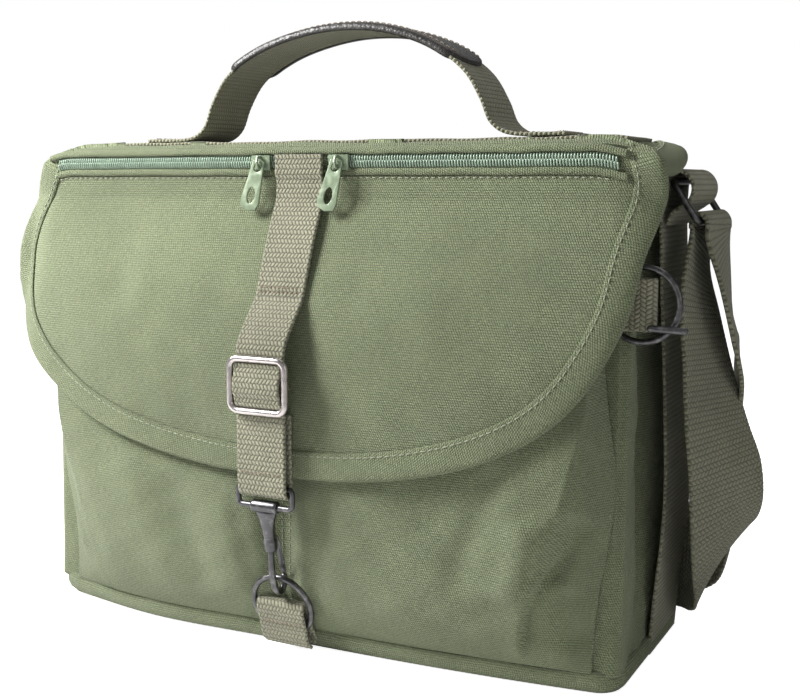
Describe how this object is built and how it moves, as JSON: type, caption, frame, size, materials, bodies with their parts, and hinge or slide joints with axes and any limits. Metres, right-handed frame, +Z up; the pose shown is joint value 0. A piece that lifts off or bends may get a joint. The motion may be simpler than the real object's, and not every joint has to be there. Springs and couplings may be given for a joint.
{
  "type": "messenger bag",
  "caption": "Canvas messenger bag: box body with front pocket, full flap with zipped pockets, snap-hook strap closure, carry handle and wide shoulder strap.",
  "frame": {"origin": "centre of the base, on the surface the bag stands on", "axes": "+X to the wearer's-view right along the flap, +Y to the back panel, +Z up"},
  "size_m": [0.4307, 0.1981, 0.3248],
  "materials": {
    "canvas": "matt waterproof cotton canvas",
    "lining": "matt nylon lining",
    "stiffener": "plain board",
    "webbing": "matt woven cotton webbing",
    "strap_webbing": "matt heavy woven cotton webbing",
    "leather": "semi-matt dark leather",
    "nickel": "satin nickel",
    "gunmetal": "satin gunmetal",
    "zip_paint": "satin pale green enamel",
    "zip_teeth": "pale green coil"
  },
  "bodies": {
    "body": {"base_panel": "canvas", "base_board": "stiffener", "front_panel": "canvas", "back_panel": "canvas", "front_pocket": "canvas", "gusset_left": "canvas", "gusset_right": "canvas", "side_webbing_left": "webbing", "side_webbing_right": "webbing", "side_tab_left": "webbing", "side_tab_right": "webbing", "strap_ring_left": "gunmetal", "strap_ring_right": "gunmetal", "side_pin_right": "gunmetal", "shoulder_strap": "strap_webbing", "strap_adjuster": "gunmetal"},
    "flap": {"flap_top": "canvas", "hood_binding_left": "canvas", "hood_binding_right": "canvas", "handle_base": "webbing", "handle_foot_left": "webbing", "handle_foot_right": "webbing"},
    "flap_front": {"flap_front": "canvas", "flap_lining": "lining", "flap_binding": "canvas", "zip_welt": "canvas", "zip_chain_left": "zip_teeth", "zip_chain_right": "zip_teeth", "strap_sewn": "webbing"},
    "handle": {"handle_loop": "webbing", "handle_grip": "leather"},
    "slider_left": {"zip_slider_left": "zip_paint"},
    "slider_right": {"zip_slider_right": "zip_paint"},
    "pull_left": {"zip_pull_left": "zip_paint"},
    "pull_right": {"zip_pull_right": "zip_paint"},
    "strap": {"strap_free": "webbing"},
    "buckle": {"slide_buckle": "nickel"},
    "hook_eye": {"hook_eye": "gunmetal"},
    "hook": {"hook_body": "gunmetal"},
    "gate": {"hook_gate": "gunmetal"},
    "closure_tab": {"closure_tab": "webbing"},
    "closure_ring": {"closure_ring": "gunmetal"},
    "side_ring_left": {"side_ring_left": "gunmetal"},
    "side_ring_right": {"side_ring_right": "gunmetal"}
  },
  "joints": [
    {"name": "flap_open", "type": "hinge", "parent": "body", "child": "flap", "pos_m": [0, 0.06, 0.2268], "axis": [-1, 0, 0], "range_deg": [0, 140]},
    {"name": "flap_fold", "type": "hinge", "parent": "flap", "child": "flap_front", "pos_m": [0, -0.0497, 0.2584], "axis": [-1, 0, 0], "range_deg": [0, 125]},
    {"name": "handle_sway", "type": "hinge", "parent": "flap", "child": "handle", "pos_m": [0, 0.004, 0.2671], "axis": [1, 0, 0], "range_deg": [-11, 11]},
    {"name": "zip_left", "type": "slide", "parent": "flap_front", "child": "slider_left", "axis": [-1, 0, 0], "range_m": [0, 0.125]},
    {"name": "zip_right", "type": "slide", "parent": "flap_front", "child": "slider_right", "axis": [1, 0, 0], "range_m": [0, 0.125]},
    {"name": "pull_left_swing", "type": "hinge", "parent": "slider_left", "child": "pull_left", "pos_m": [-0.023, -0.05465, 0.2517], "axis": [-1, 0, 0], "range_deg": [0, 115]},
    {"name": "pull_right_swing", "type": "hinge", "parent": "slider_right", "child": "pull_right", "pos_m": [0.023, -0.05465, 0.2517], "axis": [-1, 0, 0], "range_deg": [0, 115]},
    {"name": "strap_swing", "type": "hinge", "parent": "flap_front", "child": "strap", "pos_m": [0, -0.0737, 0.1843], "axis": [-1, 0, 0], "range_deg": [0, 60]},
    {"name": "buckle_slide", "type": "slide", "parent": "strap", "child": "buckle", "axis": [0, 0, 1], "range_m": [-0.012, 0.01]},
    {"name": "hook_eye_swing", "type": "hinge", "parent": "strap", "child": "hook_eye", "pos_m": [0, -0.0884, 0.0912], "axis": [-1, 0, 0], "range_deg": [0, 84]},
    {"name": "hook_swing", "type": "hinge", "parent": "hook_eye", "child": "hook", "pos_m": [0, -0.0884, 0.0812], "axis": [-1, 0, 0], "range_deg": [0, 80]},
    {"name": "gate_open", "type": "hinge", "parent": "hook", "child": "gate", "pos_m": [0, -0.07925, 0.0632], "axis": [-1, 0, 0], "range_deg": [0, 8], "stiffness_Nm_per_rad": 0.003, "springref_deg": -11.46},
    {"name": "tab_swing", "type": "hinge", "parent": "body", "child": "closure_tab", "pos_m": [0, -0.0674, 0.0026], "axis": [1, 0, 0], "range_deg": [0, 60]},
    {"name": "closure_ring_turn", "type": "hinge", "parent": "closure_tab", "child": "closure_ring", "pos_m": [0, -0.0738, 0.0253], "axis": [0, -0.9611, -0.2764], "continuous": true},
    {"name": "side_ring_left_turn", "type": "hinge", "parent": "body", "child": "side_ring_left", "pos_m": [-0.1775, -0.0486, 0.187], "axis": [0, 1, 0], "continuous": true},
    {"name": "side_ring_right_turn", "type": "hinge", "parent": "body", "child": "side_ring_right", "pos_m": [0.1775, -0.0486, 0.187], "axis": [0, 1, 0], "continuous": true}
  ]
}
